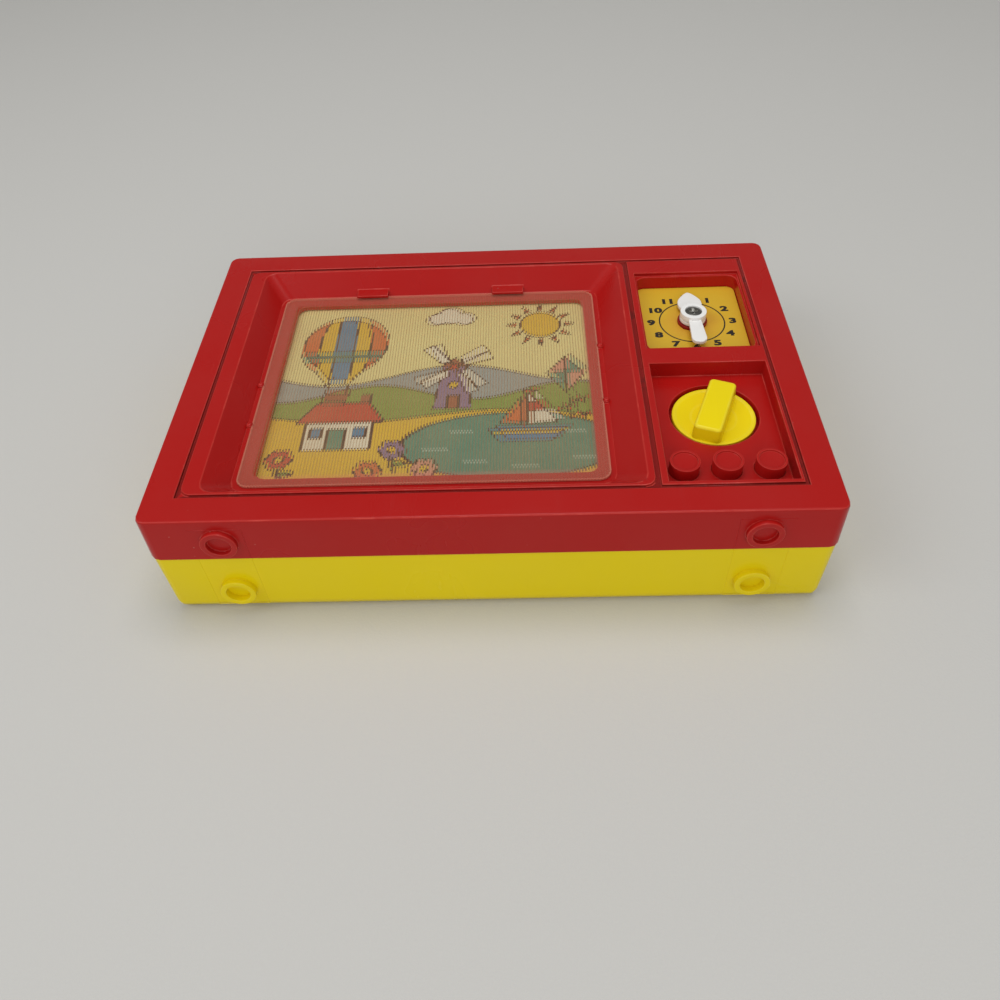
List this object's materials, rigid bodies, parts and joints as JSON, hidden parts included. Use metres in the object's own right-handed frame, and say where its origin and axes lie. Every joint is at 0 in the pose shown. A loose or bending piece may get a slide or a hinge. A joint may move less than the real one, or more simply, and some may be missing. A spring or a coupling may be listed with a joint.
{
  "type": "musical toy television",
  "caption": "Flat wind-up musical toy television with a ribbed picture screen, play clock, winding knob, push buttons and clockwork music movement.",
  "frame": {"origin": "centre of the flat back face, which the toy lies on in the picture", "axes": "+X to the right of the screen, +Y to the top of the screen, +Z out of the screen"},
  "size_m": [0.2548, 0.1732, 0.0533],
  "materials": {
    "red_plastic": "glossy moulded plastic, lightly scuffed",
    "yellow_plastic": "glossy moulded plastic",
    "white_plastic": "glossy moulded plastic",
    "cream_plastic": "plain moulded plastic",
    "clear_plastic": "clear ribbed sheet, a little yellowed",
    "clock_card": "printed card",
    "picture_card": "printed card",
    "steel": "plain steel",
    "dark_steel": "darkened steel",
    "brass": "turned brass"
  },
  "bodies": {
    "case": {"front_housing": "red_plastic", "rear_housing": "yellow_plastic", "housing_screw_1": "steel", "housing_screw_2": "steel", "housing_screw_3": "steel", "housing_screw_4": "steel", "housing_screw_5": "steel", "housing_screw_6": "steel", "screen_sheet": "clear_plastic", "guide_strip_bottom": "cream_plastic", "guide_strip_top": "cream_plastic", "guide_screw_1": "steel", "guide_screw_2": "steel", "guide_screw_3": "steel", "guide_screw_4": "steel", "clock_card": "clock_card", "clock_screw": "dark_steel", "button_spring_left": "steel", "button_spring_middle": "steel", "button_spring_right": "steel", "button_plate": "cream_plastic", "button_plate_screw_1": "steel", "button_plate_screw_2": "steel", "movement_bed": "steel", "movement_top_plate": "steel", "movement_screw_1": "steel", "movement_screw_2": "steel", "movement_screw_3": "steel", "movement_screw_4": "steel", "one_way_spring": "steel", "tone_comb": "steel", "comb_screw_1": "steel", "comb_screw_2": "steel"},
    "picture": {"picture_card": "picture_card", "picture_slider": "cream_plastic"},
    "hour": {"hour_hand": "white_plastic"},
    "minute": {"minute_hand": "white_plastic"},
    "winder": {"winding_knob": "yellow_plastic", "winding_arbor": "steel"},
    "barrel": {"spring_barrel": "brass", "barrel_lid": "brass", "mainspring": "dark_steel"},
    "drum": {"music_drum": "brass", "drum_arbor": "steel", "drum_wheel": "brass", "picture_crank": "steel"},
    "middle_shaft": {"middle_arbor": "steel", "middle_wheel": "brass"},
    "fan_shaft": {"fan_arbor": "steel", "fan_blade": "cream_plastic"},
    "left_button": {"button_left": "red_plastic"},
    "middle_button": {"button_middle": "red_plastic"},
    "right_button": {"button_right": "red_plastic"}
  },
  "joints": [
    {"name": "knob_turn", "type": "hinge", "parent": "case", "child": "winder", "pos_m": [0.0888, -0.0277, 0.044], "axis": [0, 0, 1], "continuous": true},
    {"name": "barrel_turn", "type": "hinge", "parent": "case", "child": "barrel", "pos_m": [0.0888, -0.0277, 0.02], "axis": [0, 0, 1], "continuous": true},
    {"name": "drum_turn", "type": "hinge", "parent": "case", "child": "drum", "pos_m": [0.07009, -0.0169, 0.02], "axis": [0, 0, 1], "continuous": true},
    {"name": "middle_turn", "type": "hinge", "parent": "case", "child": "middle_shaft", "pos_m": [0.0681, -0.00557, 0.02], "axis": [0, 0, 1], "continuous": true},
    {"name": "fan_turn", "type": "hinge", "parent": "case", "child": "fan_shaft", "pos_m": [0.0789, -0.00164, 0.02], "axis": [0, 0, 1], "continuous": true},
    {"name": "picture_slide", "type": "slide", "parent": "case", "child": "picture", "axis": [1, 0, 0], "range_m": [-0.0015, 0.0015]},
    {"name": "hour_hand_turn", "type": "hinge", "parent": "case", "child": "hour", "pos_m": [0.0888, 0.0343, 0.048], "axis": [0, 0, 1], "continuous": true},
    {"name": "minute_hand_turn", "type": "hinge", "parent": "case", "child": "minute", "pos_m": [0.0888, 0.0343, 0.05], "axis": [0, 0, 1], "continuous": true},
    {"name": "button_left_press", "type": "slide", "parent": "case", "child": "left_button", "axis": [0, 0, -1], "range_m": [0, 0.002], "stiffness_N_per_m": 150, "springref_m": -0.003, "deforming": ["button_spring_left"]},
    {"name": "button_middle_press", "type": "slide", "parent": "case", "child": "middle_button", "axis": [0, 0, -1], "range_m": [0, 0.002], "stiffness_N_per_m": 150, "springref_m": -0.003, "deforming": ["button_spring_middle"]},
    {"name": "button_right_press", "type": "slide", "parent": "case", "child": "right_button", "axis": [0, 0, -1], "range_m": [0, 0.002], "stiffness_N_per_m": 150, "springref_m": -0.003, "deforming": ["button_spring_right"]}
  ],
  "couplings": [
    {"joint": "drum_turn", "follows": "barrel_turn", "ratio": -5},
    {"joint": "middle_turn", "follows": "barrel_turn", "ratio": 18},
    {"joint": "fan_turn", "follows": "barrel_turn", "ratio": -64.8}
  ]
}
